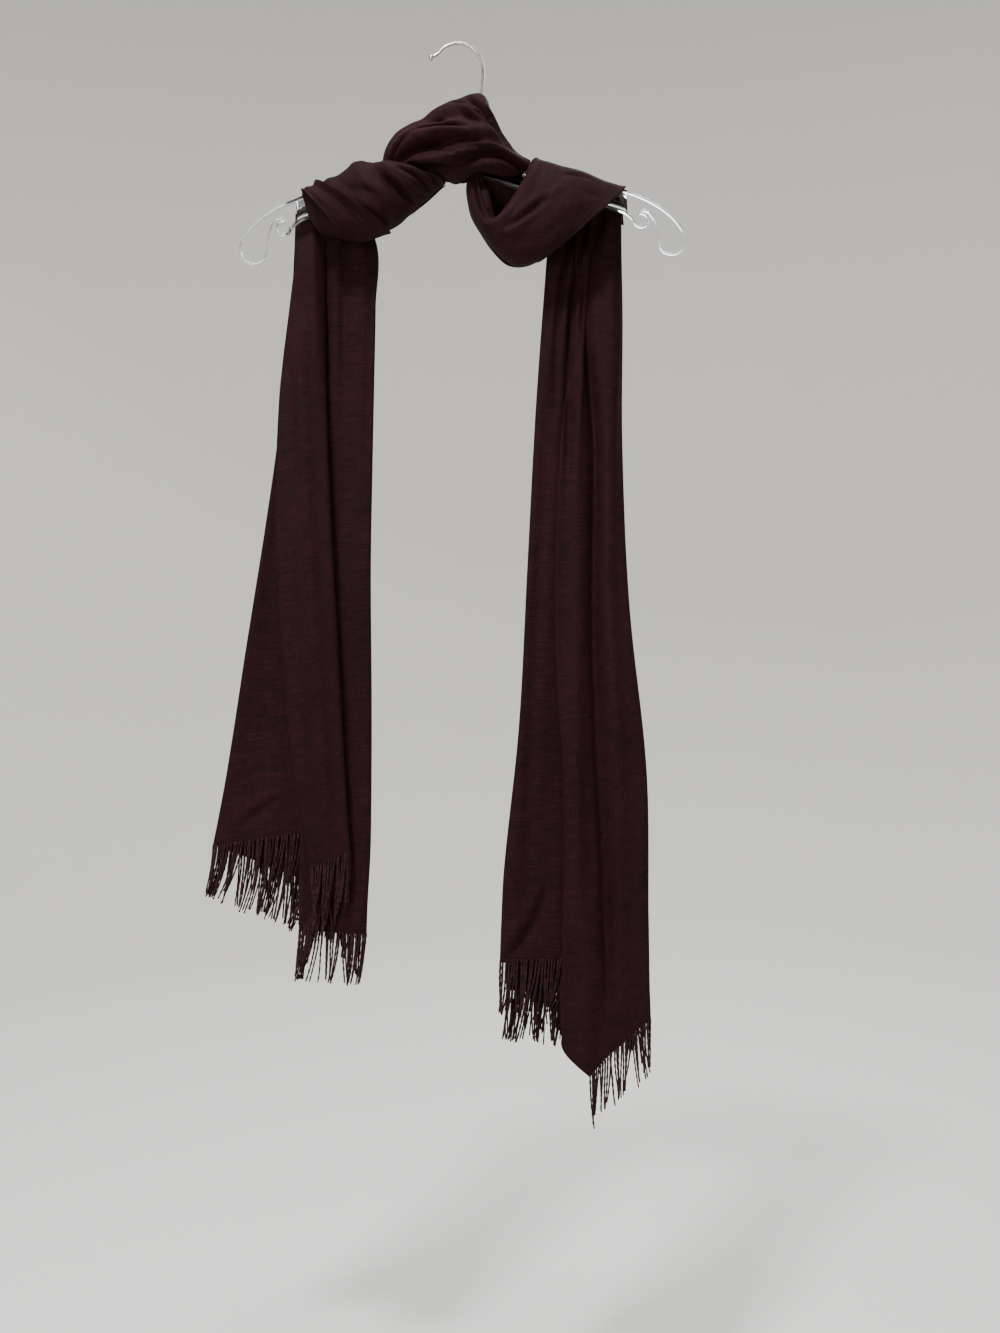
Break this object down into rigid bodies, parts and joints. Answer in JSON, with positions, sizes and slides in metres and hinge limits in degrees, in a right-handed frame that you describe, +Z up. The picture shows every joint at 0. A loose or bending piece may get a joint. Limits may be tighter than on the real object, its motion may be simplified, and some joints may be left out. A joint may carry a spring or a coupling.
{
  "type": "fringed scarf wound on a clothes hanger",
  "caption": "Long fringed scarf wound round the arms and neck of a clear clothes hanger, with two folded tails hanging down, held up by the hanger's wire hook.",
  "frame": {"origin": "inner top of the hook's bend, where the hook bears on the rod that holds the hanger up", "axes": "+Z up, +X to the right seen from the front, +Y to the back, across the hanger's flat plane"},
  "size_m": [0.4611, 0.0653, 1.0247],
  "materials": {
    "scarf_cloth": "thin dark maroon-brown cloth, plain weave with uneven yarns, matt with a faint sheen",
    "scarf_fringe": "twisted yarn ends of the same cloth",
    "clear_plastic": "clear moulded plastic, glossy",
    "hook_wire": "bright drawn steel wire"
  },
  "bodies": {
    "root": {"hanger": "clear_plastic", "hook": "hook_wire", "neck_wrap": "scarf_cloth", "left_inner_wrap": "scarf_cloth", "left_outer_wrap": "scarf_cloth", "right_band": "scarf_cloth", "right_loop": "scarf_cloth", "left_tail": "scarf_cloth", "right_tail": "scarf_cloth", "left_fringe": "scarf_fringe", "right_fringe": "scarf_fringe"}
  },
  "joints": []
}
